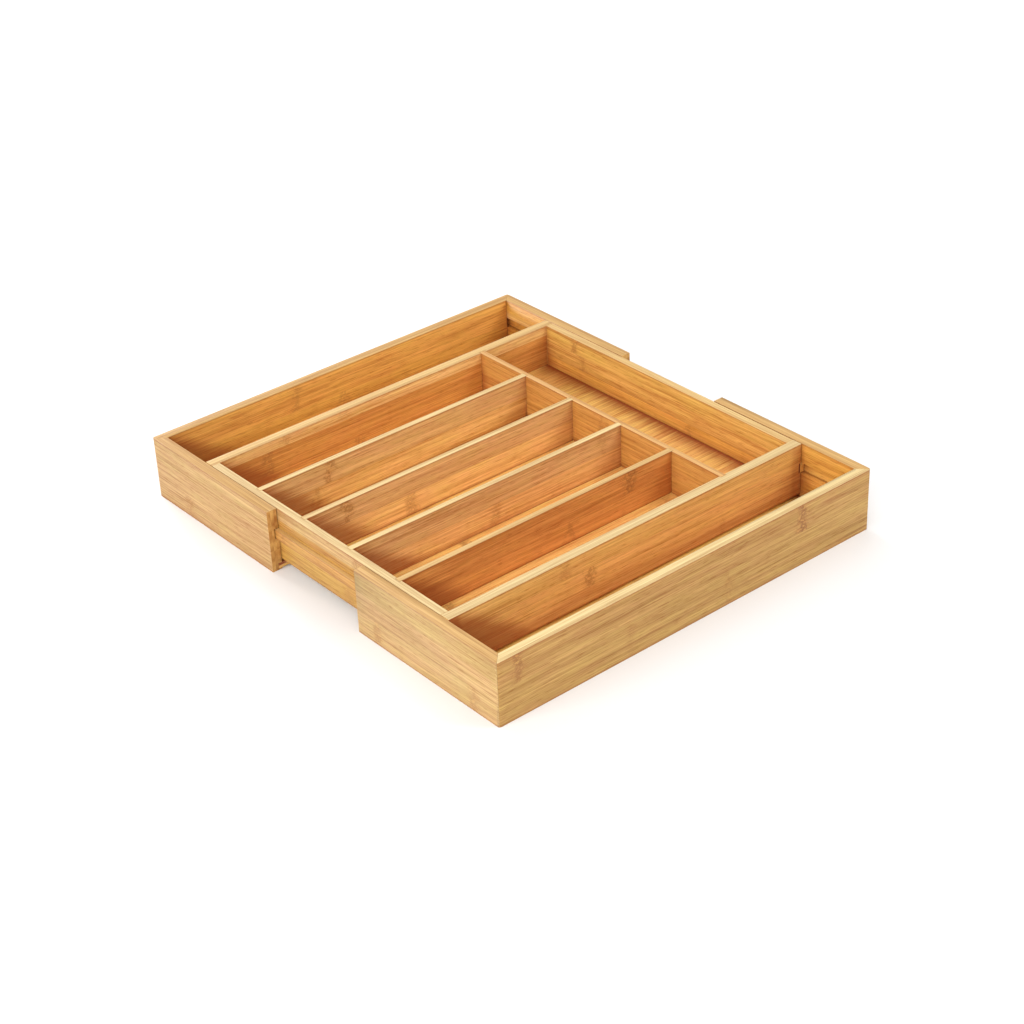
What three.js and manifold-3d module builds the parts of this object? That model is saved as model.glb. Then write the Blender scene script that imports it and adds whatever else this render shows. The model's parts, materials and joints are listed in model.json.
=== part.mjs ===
import * as THREE from 'three';
import { mergeVertices } from 'three/addons/utils/BufferGeometryUtils.js';
import Module from 'manifold-3d';

// An expandable cutlery tray in bamboo: a middle tray with glued dividers, and two U-shaped wings that
// slide in and out on rails along the tray's front and back boards.
// Millimetres, +Z up. The origin is on the drawer floor under the middle of the tray. +X is to the
// right, the way the right wing slides out, and +Y is to the back.

const wasm = await Module();
wasm.setup();

// Driving dimensions
const OVERALL_DEPTH = 430; // front to back, over the wings
const HEIGHT = 62; // drawer floor to the top edges
const TRAY_WIDTH = 350; // left to right, over the middle tray
const BACK_COMPARTMENT = 79; // clear size, front to back, of the wide compartment
const LONG_DIVIDERS = 4;
const PULLED_OUT = 62; // how far each wing is pulled out as drawn
const FULL_TRAVEL = 100; // how far a wing comes out before its batten stops it

// Thickness of the boards and panels
const WING_BOARD = 10.3;
const TRAY_SIDE_BOARD = 10.3;
const TRAY_END_BOARD = 8.3; // the tray's front and back boards
const CROSS_DIVIDER = 5.8;
const LONG_DIVIDER = 5.8;
const TRAY_FLOOR = 4.8;
const WING_FLOOR = 5;

// Heights
const WING_FLOOR_LIFT = 1.5; // drawer floor to the underside of a wing's floor
const TRAY_LIFT = 9.5; // drawer floor to the lower edges of the tray's boards
const TRAY_FLOOR_LIFT = 3.9; // those edges to the underside of the tray's floor
const RAIL_LIFT = 32.2; // drawer floor to the underside of the rails

// Rails
const RAIL_HEIGHT = 9.6;
const RAIL_STAND = 4; // how far a rail stands out of its board
const RAIL_SET = 2.5; // how deep it is let into the board

// Stop battens
const BATTEN_WIDTH = 12;
const BATTEN_END_GAP = 3; // batten to the tray's front and back boards
const BATTEN_HEADROOM = 0.8; // batten to the underside of the tray's floor
const BATTEN_STOP_GAP = 0.3; // batten to the tray's side board, wing fully out

// Depths of the grooves that hold dividers and floors
const DIVIDER_HOUSING = 2;
const FLOOR_HOUSING = 4;

// Clearances
const GLUE_GAP = 0.15; // between glued faces
const HOUSING_PLAY = 0.3; // round an end or an edge in its groove
const SLIDE_GAP = 0.7; // tray's boards to the wings' boards
const RAIL_PLAY = 0.3; // above and below a rail in a wing's groove
const RAIL_TIP_GAP = 1; // rail's outer face to the bottom of that groove
const CLOSED_GAP = 0.5; // tray's side board to the wing's side board, wing pushed in
const MEETING_GAP = 2.6; // between the two wings' ends, both pushed in
const OVERRUN = 2; // how far a cut runs past an open end

// Faces of the tray and the wings, as distances from the middle or heights above the drawer floor
const wingOuterY = OVERALL_DEPTH / 2;
const wingInnerY = wingOuterY - WING_BOARD;
const trayOuterY = wingInnerY - SLIDE_GAP;
const trayInnerY = trayOuterY - TRAY_END_BOARD;
const trayOuterX = TRAY_WIDTH / 2;
const trayInnerX = trayOuterX - TRAY_SIDE_BOARD;
const trayFloorUnderside = TRAY_LIFT + TRAY_FLOOR_LIFT;
const trayFloorTop = trayFloorUnderside + TRAY_FLOOR;
const wingFloorTop = WING_FLOOR_LIFT + WING_FLOOR;
const wingReach = trayOuterX + CLOSED_GAP + WING_BOARD - MEETING_GAP / 2;
const wingOuterX = trayOuterX + CLOSED_GAP + WING_BOARD + PULLED_OUT;
const wingInnerX = wingOuterX - WING_BOARD;
const wingFreeX = wingOuterX - wingReach;

// Colours of the bamboo
const BOARD_COLOUR = 0xdcae6c;
const DIVIDER_COLOUR = 0xd6a261;
const FLOOR_COLOUR = 0xcf9a5b;
const RAIL_COLOUR = 0xe0b676;
const BAMBOO_ROUGHNESS = 0.55;

// A span is a low and a high place along one axis, and a block has one for each axis.

function about(half) {
  return [-half, half];
}

function towards(side, near, far) {
  return side > 0 ? [near, far] : [-far, -near];
}

function middle(span) {
  return (span[0] + span[1]) / 2;
}

function block(x, y, z) {
  return { x, y, z };
}

function grown(spans, play) {
  const grow = (span) => [span[0] - play, span[1] + play];
  return block(grow(spans.x), grow(spans.y), grow(spans.z));
}

function blockGeometry({ x, y, z }) {
  const geometry = new THREE.BoxGeometry(x[1] - x[0], y[1] - y[0], z[1] - z[0]);
  return geometry.translate(middle(x), middle(y), middle(z));
}

// A board with mitred ends, from its outline seen from above.
function outlineGeometry(points, z) {
  const outline = new THREE.Shape(points.map(([x, y]) => new THREE.Vector2(x, y)));
  const geometry = new THREE.ExtrudeGeometry(outline, { depth: z[1] - z[0], bevelEnabled: false });
  return geometry.translate(0, 0, z[0]);
}

function solidOf(geometry) {
  const bare = geometry.clone();
  bare.deleteAttribute('normal');
  bare.deleteAttribute('uv');
  const merged = mergeVertices(bare);
  const mesh = new wasm.Mesh({
    numProp: 3,
    vertProperties: new Float32Array(merged.attributes.position.array),
    triVerts: new Uint32Array(merged.index.array),
  });
  return new wasm.Manifold(mesh);
}

// A geometry with the grooves of the given blocks cut out of it.
function cutBy(geometry, cutters) {
  const start = solidOf(geometry);
  const solid = cutters.reduce((rest, cutter) => rest.subtract(solidOf(blockGeometry(cutter))), start);
  const mesh = solid.getMesh();
  const result = new THREE.BufferGeometry();
  result.setAttribute('position', new THREE.BufferAttribute(mesh.vertProperties, 3));
  result.setIndex(new THREE.BufferAttribute(mesh.triVerts, 1));
  return result;
}

function piece(name, geometry, colour) {
  const flat = geometry.index ? geometry.toNonIndexed() : geometry;
  flat.computeVertexNormals();
  const material = new THREE.MeshStandardMaterial({
    color: colour,
    roughness: BAMBOO_ROUGHNESS,
    metalness: 0,
  });
  const mesh = new THREE.Mesh(flat, material);
  mesh.name = name;
  return mesh;
}

// What is let into the tray's boards: the floor, the dividers and the rails

const trayFloor = block(
  about(trayInnerX + FLOOR_HOUSING),
  about(trayInnerY + FLOOR_HOUSING),
  [trayFloorUnderside, trayFloorTop],
);

const dividerHeights = [trayFloorTop + GLUE_GAP, HEIGHT];
const crossBackY = trayInnerY - BACK_COMPARTMENT;
const crossFrontY = crossBackY - CROSS_DIVIDER;

const crossDivider = block(
  about(trayInnerX + DIVIDER_HOUSING),
  [crossFrontY, crossBackY],
  dividerHeights,
);

function longDivider(number) {
  const compartments = LONG_DIVIDERS + 1;
  const clearWidth = (trayInnerX * 2 - LONG_DIVIDER * LONG_DIVIDERS) / compartments;
  const left = -trayInnerX + clearWidth * number + LONG_DIVIDER * (number - 1);
  return block(
    [left, left + LONG_DIVIDER],
    [-trayInnerY - DIVIDER_HOUSING, crossFrontY + DIVIDER_HOUSING],
    dividerHeights,
  );
}

const longDividers = Array.from({ length: LONG_DIVIDERS }, (_, index) => longDivider(index + 1));

const railHeights = [RAIL_LIFT, RAIL_LIFT + RAIL_HEIGHT];

// end is 1 at the back and -1 at the front.
function rail(end) {
  return block(
    about(trayOuterX),
    towards(end, trayOuterY - RAIL_SET, trayOuterY + RAIL_STAND),
    railHeights,
  );
}

function railHousing(end) {
  const housing = grown(rail(end), GLUE_GAP);
  housing.x = about(trayOuterX + OVERRUN);
  housing.y = towards(end, trayOuterY - RAIL_SET - GLUE_GAP, trayOuterY + RAIL_STAND + OVERRUN);
  return housing;
}

// The middle tray

const trayHeights = [TRAY_LIFT, HEIGHT];

function trayEndBoard(end, dividers) {
  const board = block(
    about(trayInnerX - GLUE_GAP),
    towards(end, trayInnerY, trayOuterY),
    trayHeights,
  );
  const housings = [trayFloor, ...dividers].map((spans) => grown(spans, HOUSING_PLAY));
  return cutBy(blockGeometry(board), [...housings, railHousing(end)]);
}

function traySideBoard(side) {
  const board = block(
    towards(side, trayInnerX, trayOuterX),
    about(trayOuterY),
    trayHeights,
  );
  const housings = [trayFloor, crossDivider].map((spans) => grown(spans, HOUSING_PLAY));
  return cutBy(blockGeometry(board), [...housings, railHousing(-1), railHousing(1)]);
}

function crossDividerGeometry() {
  return cutBy(blockGeometry(crossDivider), longDividers.map((spans) => grown(spans, HOUSING_PLAY)));
}

function tray() {
  const group = new THREE.Group();
  group.add(
    piece('tray_front_board', trayEndBoard(-1, longDividers), BOARD_COLOUR),
    piece('tray_back_board', trayEndBoard(1, []), BOARD_COLOUR),
    piece('tray_left_side_board', traySideBoard(-1), BOARD_COLOUR),
    piece('tray_right_side_board', traySideBoard(1), BOARD_COLOUR),
    piece('tray_floor', blockGeometry(trayFloor), FLOOR_COLOUR),
    piece('cross_divider', crossDividerGeometry(), DIVIDER_COLOUR),
    piece('front_rail', blockGeometry(rail(-1)), RAIL_COLOUR),
    piece('back_rail', blockGeometry(rail(1)), RAIL_COLOUR),
  );
  longDividers.forEach((spans, index) => {
    group.add(piece(`long_divider_${index + 1}`, blockGeometry(spans), DIVIDER_COLOUR));
  });
  return group;
}

// The wings. side is 1 for the right one and -1 for the left one.

const wingHeights = [0, HEIGHT];
const mitreGap = GLUE_GAP * Math.SQRT2;

function wingFloor(side) {
  return block(
    towards(side, wingFreeX, wingInnerX + FLOOR_HOUSING),
    about(wingInnerY + FLOOR_HOUSING),
    [WING_FLOOR_LIFT, wingFloorTop],
  );
}

function wingFloorHousing(side) {
  const housing = grown(wingFloor(side), HOUSING_PLAY);
  housing.x = towards(side, wingFreeX - OVERRUN, wingInnerX + FLOOR_HOUSING + HOUSING_PLAY);
  return housing;
}

// The groove in a wing's front or back board in which the tray's rail runs.
function railGroove(side, end) {
  const groove = grown(rail(end), RAIL_PLAY);
  groove.x = towards(side, wingFreeX - OVERRUN, wingOuterX + OVERRUN);
  groove.y = towards(end, wingInnerY - OVERRUN, trayOuterY + RAIL_STAND + RAIL_TIP_GAP);
  return groove;
}

function wingEndBoard(side, end) {
  const outline = [
    [side * wingFreeX, end * wingOuterY],
    [side * wingOuterX, end * wingOuterY],
    [side * wingInnerX, end * wingInnerY],
    [side * wingFreeX, end * wingInnerY],
  ];
  return cutBy(outlineGeometry(outline, wingHeights), [wingFloorHousing(side), railGroove(side, end)]);
}

function wingSideBoard(side) {
  const outline = [
    [side * wingOuterX, mitreGap - wingOuterY],
    [side * wingOuterX, wingOuterY - mitreGap],
    [side * wingInnerX, wingInnerY - mitreGap],
    [side * wingInnerX, mitreGap - wingInnerY],
  ];
  return cutBy(outlineGeometry(outline, wingHeights), [wingFloorHousing(side)]);
}

// The batten lies on the wing's floor, under the tray. When the wing is fully out it meets the inner
// face of the tray's side board, below the tray's floor.
function stopBatten(side) {
  const travelLeft = FULL_TRAVEL - PULLED_OUT;
  const outerFace = trayInnerX - BATTEN_STOP_GAP - travelLeft;
  return block(
    towards(side, outerFace - BATTEN_WIDTH, outerFace),
    about(trayInnerY - BATTEN_END_GAP),
    [wingFloorTop + GLUE_GAP, trayFloorUnderside - BATTEN_HEADROOM],
  );
}

function wing(name, side) {
  const group = new THREE.Group();
  group.add(
    piece(`${name}_side_board`, wingSideBoard(side), BOARD_COLOUR),
    piece(`${name}_front_board`, wingEndBoard(side, -1), BOARD_COLOUR),
    piece(`${name}_back_board`, wingEndBoard(side, 1), BOARD_COLOUR),
    piece(`${name}_floor`, blockGeometry(wingFloor(side)), FLOOR_COLOUR),
    piece(`${name}_stop_batten`, blockGeometry(stopBatten(side)), RAIL_COLOUR),
  );
  return group;
}

const cutleryTray = new THREE.Group();
cutleryTray.add(tray(), wing('left_wing', -1), wing('right_wing', 1));

export default cutleryTray;
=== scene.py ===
"""An expandable cutlery tray in laminated bamboo: its boards and finish, its floor, light and camera.

Every length is in metres. +X is to the right, +Y to the back and +Z up, with the origin on the drawer
floor under the middle of the tray.
"""

import json
import math
import random
from dataclasses import dataclass

import bmesh
import bpy
from mathutils import Matrix, Vector
from mathutils.bvhtree import BVHTree


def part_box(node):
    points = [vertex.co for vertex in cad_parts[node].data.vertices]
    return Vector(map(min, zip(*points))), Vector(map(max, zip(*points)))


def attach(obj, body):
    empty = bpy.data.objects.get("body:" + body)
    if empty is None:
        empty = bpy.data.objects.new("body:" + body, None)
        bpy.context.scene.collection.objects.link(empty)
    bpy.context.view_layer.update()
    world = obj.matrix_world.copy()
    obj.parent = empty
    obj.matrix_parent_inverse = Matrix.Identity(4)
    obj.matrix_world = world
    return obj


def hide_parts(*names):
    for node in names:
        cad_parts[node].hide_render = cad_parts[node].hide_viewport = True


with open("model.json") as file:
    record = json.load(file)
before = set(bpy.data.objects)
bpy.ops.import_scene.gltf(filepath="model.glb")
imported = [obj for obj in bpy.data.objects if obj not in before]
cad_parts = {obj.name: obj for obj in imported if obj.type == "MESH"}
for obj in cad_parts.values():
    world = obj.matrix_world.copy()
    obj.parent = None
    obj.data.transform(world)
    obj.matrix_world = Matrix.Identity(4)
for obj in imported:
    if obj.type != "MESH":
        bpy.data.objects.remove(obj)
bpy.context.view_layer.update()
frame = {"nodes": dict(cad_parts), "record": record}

X, Y, Z = 0, 1, 2
MILLIMETRE = 0.001

# Edges of the boards, and the room between them
BOARD_EASING = 0.6 * MILLIMETRE
DIVIDER_EASING = 0.5 * MILLIMETRE
STRIP_EASING = 0.4 * MILLIMETRE
GROOVE_EASING_SHARE = 0.4
EASING_STEPS = 3
CORNER_RADIUS = 2 * MILLIMETRE
CORNER_STEPS = 6
MERGE_DISTANCE = 0.002 * MILLIMETRE
GLUED_GAP = 0.4 * MILLIMETRE
SLIDING_GAP = 1.3 * MILLIMETRE
RAIL_PLAY = 0.3 * MILLIMETRE
RAIL_TIP_GAP = 1 * MILLIMETRE
FLAT_ANGLE = math.radians(1)
EDGE_ANGLE = math.radians(30)


# Shader maths

NOISE_ROUGHNESS = 0.55
NOISE_RANGE = 4.0


def identified(sockets, identifier):
    return next(socket for socket in sockets if socket.identifier == identifier)


def as_colour(colour):
    return (*colour, 1.0) if isinstance(colour, tuple) else colour


class Field:
    """A number that varies over a surface. Sums and products of fields add Math nodes."""

    def __init__(self, finish, socket):
        self.finish = finish
        self.socket = socket

    def __add__(self, other):
        return self.finish.maths("ADD", self, other)

    def __radd__(self, other):
        return self.finish.maths("ADD", other, self)

    def __sub__(self, other):
        return self.finish.maths("SUBTRACT", self, other)

    def __rsub__(self, other):
        return self.finish.maths("SUBTRACT", other, self)

    def __mul__(self, other):
        return self.finish.maths("MULTIPLY", self, other)

    def __rmul__(self, other):
        return self.finish.maths("MULTIPLY", other, self)

    def __truediv__(self, other):
        return self.finish.maths("DIVIDE", self, other)

    def __rtruediv__(self, other):
        return self.finish.maths("DIVIDE", other, self)


class Finish:
    """A material being made."""

    def __init__(self, name):
        self.material = bpy.data.materials.new(name)
        self.material.use_nodes = True
        self.tree = self.material.node_tree
        self.tree.nodes.clear()

    def node(self, kind, settings, sockets):
        """A node of any kind: its settings are set first, then its sockets' values and links."""
        node = self.tree.nodes.new(kind)
        for name, value in settings.items():
            setattr(node, name, value)
        for identifier, value in sockets.items():
            target = identified(node.inputs, identifier)
            source = value.socket if isinstance(value, Field) else value
            if isinstance(source, bpy.types.NodeSocket):
                self.tree.links.new(source, target)
            else:
                target.default_value = source
        return node

    def maths(self, operation, first, second=0.0):
        node = self.node("ShaderNodeMath", {"operation": operation}, {"Value": first, "Value_001": second})
        return Field(self, node.outputs[0])

    def least(self, first, second):
        return self.maths("MINIMUM", first, second)

    def most(self, first, second):
        return self.maths("MAXIMUM", first, second)

    def rise(self, value, low, high):
        """0 at low and 1 at high, with a smooth rise between them."""
        settings = {"interpolation_type": "SMOOTHSTEP", "clamp": True}
        sockets = {"Value": value, "From Min": low, "From Max": high}
        return Field(self, self.node("ShaderNodeMapRange", settings, sockets).outputs[0])

    def fall(self, value, low, high):
        """1 at low and 0 at high, with a smooth fall between them."""
        return 1 - self.rise(value, low, high)

    def noise(self, x, y, z, detail):
        """Smooth noise, mostly from -1 to 1."""
        place = self.node("ShaderNodeCombineXYZ", {}, {"X": x, "Y": y, "Z": z})
        sockets = {"Vector": place.outputs[0], "Scale": 1.0, "Detail": detail, "Roughness": NOISE_ROUGHNESS}
        texture = self.node("ShaderNodeTexNoise", {"noise_dimensions": "3D"}, sockets)
        return Field(self, texture.outputs[0]) * NOISE_RANGE - NOISE_RANGE / 2

    def chance(self, number):
        """A random share from 0 to 1 for each number."""
        texture = self.node("ShaderNodeTexWhiteNoise", {"noise_dimensions": "1D"}, {"W": number})
        return Field(self, texture.outputs[0])

    def blend(self, share, first, second, how="MIX"):
        """From the first colour to the second as share goes from 0 to 1."""
        settings = {"data_type": "RGBA", "clamp_factor": True, "blend_type": how}
        sockets = {"A_Color": as_colour(first), "B_Color": as_colour(second), "Factor_Float": share}
        return identified(self.node("ShaderNodeMix", settings, sockets).outputs, "Result_Color")

    def place(self):
        """The three Object coordinates."""
        source = self.node("ShaderNodeTexCoord", {}, {})
        split = self.node("ShaderNodeSeparateXYZ", {}, {"Vector": source.outputs["Object"]})
        return [Field(self, output) for output in split.outputs]

    def attribute(self, name):
        settings = {"attribute_type": "GEOMETRY", "attribute_name": name}
        return Field(self, identified(self.node("ShaderNodeAttribute", settings, {}).outputs, "Fac"))

    def surface(self, colour, roughness, height=None, relief=0.0):
        sockets = {"Base Color": as_colour(colour), "Roughness": roughness}
        if height is not None:
            values = {"Height": height, "Distance": relief, "Strength": 1.0}
            sockets["Normal"] = self.node("ShaderNodeBump", {}, values).outputs[0]
        shader = self.node("ShaderNodeBsdfPrincipled", {}, sockets)
        self.node("ShaderNodeOutputMaterial", {}, {"Surface": shader.outputs[0]})
        return self.material


# Laminated bamboo

# Tones in linear light
CREAM = (0.70, 0.48, 0.205)
PEACH = (0.64, 0.43, 0.185)
APRICOT = (0.62, 0.37, 0.13)
VANILLA = (0.67, 0.445, 0.185)
CARAMEL = (0.65, 0.335, 0.105)
OAT = (0.56, 0.305, 0.094)
SAND = (0.53, 0.313, 0.117)
BISCUIT = (0.50, 0.26, 0.07)
HONEY = (0.96, 0.47, 0.125)
NOUGAT = (0.66, 0.36, 0.135)
CINNAMON = (0.83, 0.47, 0.165)
MUSTARD = (0.72, 0.36, 0.07)
OCHRE = (0.57, 0.25, 0.03)
GOLD = (0.67, 0.35, 0.08)
SYRUP = (0.72, 0.33, 0.066)
TOFFEE = (0.51, 0.25, 0.055)
AMBER = (0.71, 0.37, 0.095)
COPPER = (0.59, 0.26, 0.062)
GINGER = (0.70, 0.35, 0.102)
RUSSET = (0.62, 0.257, 0.06)
END_BROWN = (0.57, 0.28, 0.066)
# The next three tones are painted shade: in corners and creases and beside edges; deep in grooves and on
# rail ends beside their glue; on the lower face of a groove
SHADE_BROWN = (0.29, 0.06, 0.009)
DEEP_SHADE_BROWN = (0.12, 0.02, 0.005)
GROOVE_SHADE_BROWN = (0.28, 0.10, 0.014)
KNUCKLE_BROWN = (0.22, 0.075, 0.017)
GLUE_BROWN = (0.22, 0.095, 0.03)
PINK_TINT = (1.03, 0.96, 0.97)
STRAW_TINT = (0.99, 1.02, 0.88)

# How a tone darkens and lightens along the grain
DARK_SHARES = (0.64, 0.51, 0.38)
LIGHT_SHARES = (1.20, 1.38, 1.56)
BRIGHTEST = 0.97

# Lengths of the grain's features along the fibres, and their widths across them
BAND_LENGTH, BAND_WIDTH = 260 * MILLIMETRE, 6 * MILLIMETRE
STREAK_LENGTH, STREAK_WIDTH = 130 * MILLIMETRE, 2.2 * MILLIMETRE
FIBRE_LENGTH, FIBRE_WIDTH = 45 * MILLIMETRE, 0.9 * MILLIMETRE
PORE_LENGTH, PORE_WIDTH = 9 * MILLIMETRE, 0.7 * MILLIMETRE
BLOTCH_LENGTH, BLOTCH_WIDTH = 30 * MILLIMETRE, 8 * MILLIMETRE
END_DOT = 0.55 * MILLIMETRE
FIBRE_RELIEF = 0.06 * MILLIMETRE

# Thin lines and layers at a board's surface
GLUE_LINE = 0.14 * MILLIMETRE
LAYER_LINE = 0.28 * MILLIMETRE
SKIN = 0.3 * MILLIMETRE
# How far the painted shade beside a face's edges reaches
RIM_SHADE_REACH = 2.4 * MILLIMETRE
WORN_WIDTH = 0.8 * MILLIMETRE
NO_SEAM_NEAR = 1.0

# A knuckle is where the bamboo stem had one of its rings. It crosses one strip of a board.
KNUCKLE_HALF_LENGTH = 9 * MILLIMETRE
KNUCKLE_RIDGE_PLACE = 1.8 * MILLIMETRE
KNUCKLE_RIDGE = 2.4 * MILLIMETRE
KNUCKLE_BEND = 4.5 * MILLIMETRE
KNUCKLE_BEND_LENGTH, KNUCKLE_BEND_WIDTH = 11 * MILLIMETRE, 9 * MILLIMETRE
CURL_LENGTH, CURL_WIDTH = 6 * MILLIMETRE, 4.5 * MILLIMETRE

# Painted shade darkens the foot of a compartment's boards and the creases where they meet, and a painted
# shadow of the front board falls across the front corners. In a groove, painted shade darkens the blind
# end, and the end of a rail beside its glue.
FOOT_SHADE_REACH = 5 * MILLIMETRE
CREASE_SHADE_REACH = 6 * MILLIMETRE
FRONT_DARKEST_TO, FRONT_GONE_BY = -8 * MILLIMETRE, 20 * MILLIMETRE
BACK_DARKEST_TO, BACK_GONE_BY = -45 * MILLIMETRE, 15 * MILLIMETRE
SIDE_DARKEST_TO, SIDE_GONE_BY = -18 * MILLIMETRE, 4 * MILLIMETRE
FLOOR_SHADE_REACH = 24 * MILLIMETRE
BLIND_SHADE_REACH = 3 * MILLIMETRE
DEEP_SHADE_REACH = 2.2 * MILLIMETRE

# Detail of the noises
NO_DETAIL, LITTLE_DETAIL, SOME_DETAIL, MUCH_DETAIL = 0.0, 1.0, 2.0, 3.0

# The values of its noise between which a feature rises
PORE_RISE = (0.35, 1.0)
CURL_RISE = (0.05, 0.42)
RIDGE_RISE = (-0.7, 0.5)
END_DOT_RISE = (-0.2, 0.9)

# Each feature's share in a lightness, a tint, a roughness or a relief, beside a plain value
FACE_LIGHT, EDGE_LIGHT, END_LIGHT, PLAIN_TINT, PLAIN_ROUGHNESS = 0.56, 0.56, 0.6, 0.5, 0.52
FACE_LIGHT_SHARES = {"band": 0.2, "streak": 0.3, "fibre": 0.36, "pore": -0.3, "strip_light": 0.22}
EDGE_LIGHT_SHARES = {"fibre": 0.3, "streak": 0.2, "strip_light": 0.3}
END_LIGHT_SHARES = {"strip_light": 0.6, "end_block": 0.5, "end_dots": -0.35}
TINT_SHARES = {"blotch": 0.5, "strip_hue": 0.9}
ROUGHNESS_SHARES = {"fibre": -0.05, "pore": 0.1, "worn": -0.07, "end": 0.15}
RELIEF_SHARES = {"fibre": 0.35, "pore": -0.8, "marked": -0.7}

# How far each feature turns the colour to its own tone
KNUCKLE_SHARE, CURL_SHARE, RIDGE_SHARE = 0.3, 0.6, 0.45
# The foot, crease, groove, deep and rim shares are painted shade
FOOT_SHADE_SHARE, CREASE_SHADE_SHARE = 0.36, 0.2
GROOVE_SHADE_SHARE, DEEP_SHADE_SHARE = 0.7, 0.9
RIM_SHADE_SHARE, LAYER_LINE_SHARE, SEAM_SHARE, WORN_SHARE = 0.5, 0.45, 0.4, 0.12

# Share of the worn width by which it strays with the fibres
WORN_STRAY_SHARE = 0.25

# Shares of a board's thickness where its low face's tone ends and its high face's begins, and of a
# groove's depth where its painted shade begins and is darkest
FACE_CHANGE_SHARES = (0.35, 0.65)
GROOVE_SHADE_DEPTH_SHARES = (0.35, 0.6)

# A strip in a layer draws its looks by its own number. The last layer takes in the high face.
LAYER_NUMBERS, STRIP_NUMBERS, SEED_NUMBERS, HUE_NUMBER = 131.0, 7.0, 17, 0.5
LAST_LAYER_SHARE = 0.97
SHIFT_RANGE = 83.0
EVEN_CHANCE = 0.5

# How much a board's low and its high face belong to a compartment
BOTH_FACES, LOW_FACE, HIGH_FACE, NO_FACE = (1.0, 1.0), (1.0, 0.0), (0.0, 1.0), (0.0, 0.0)


def shaded(tone, shares):
    return tuple(min(BRIGHTEST, channel * share) for channel, share in zip(tone, shares))


@dataclass
class EndShade:
    """Painted shade and shadow at one end of a compartment, cast by the board across that end.

    It is darkest as far as one place along the board and gone by another. Both hold at the board's upper
    edge, and lie further along for each length below that edge, by the spread.
    """

    strength: float
    spread: float
    darkest_to: float
    gone_by: float


# Painted shadow of the front board in the front corners; painted shade at the back, beside the side boards
# and on the floors at their ends
FRONT_END_SHADE = EndShade(strength=0.7, spread=1.5, darkest_to=FRONT_DARKEST_TO, gone_by=FRONT_GONE_BY)
BACK_END_SHADE = EndShade(strength=0.4, spread=0.9, darkest_to=BACK_DARKEST_TO, gone_by=BACK_GONE_BY)
LEFT_END_SHADE = EndShade(strength=0.5, spread=0.5, darkest_to=SIDE_DARKEST_TO, gone_by=SIDE_GONE_BY)
RIGHT_END_SHADE = EndShade(strength=0.25, spread=0.5, darkest_to=SIDE_DARKEST_TO, gone_by=SIDE_GONE_BY)
FLOOR_END_SHADE = EndShade(strength=0.84, spread=0.0, darkest_to=0.0, gone_by=FLOOR_SHADE_REACH)


@dataclass
class Bamboo:
    """How a board is laminated.

    along, across and through are the axes of its fibres, its strips and its layers. faces holds the
    tones of its low and its high face: one, or several from the lowest strip up, the last of which goes
    on to the top. edges holds the tones of its upper and lower edges beside them, and end_tone is that
    of its sawn ends. border_shares says where across the board its strips meet, and knuckle_shares holds
    the place along the board, the strip and the strength of each knuckle. In a row of boards with one
    finish, row_step is the distance from one to the next, and the second of two tones is that of the
    last board.

    inside says how much its low and its high face belong to a compartment. margins are the parts of the
    board beyond the compartment at its start, at its end and below its foot, and its end shades hold the
    painted shade at its start and at its end. groove holds the lower edge, the upper edge and the depth of
    the groove in the face inside the compartment, which gets painted shade. Its glued face, low or high,
    is the face beside which the board's ends get painted shade.
    """

    along: int
    across: int
    through: int
    layers: int
    seed: int
    faces: tuple
    border_shares: tuple
    knuckle_shares: tuple
    edges: tuple = (PEACH, PEACH)
    end_tone: tuple = END_BROWN
    row_step: float = 0.0
    row_count: int = 1
    inside: tuple = NO_FACE
    margins: tuple = (0.0, 0.0, 0.0)
    end_shades: tuple = (FRONT_END_SHADE, BACK_END_SHADE)
    groove: tuple = ()
    shaded_glued_face: str = ""


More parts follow.
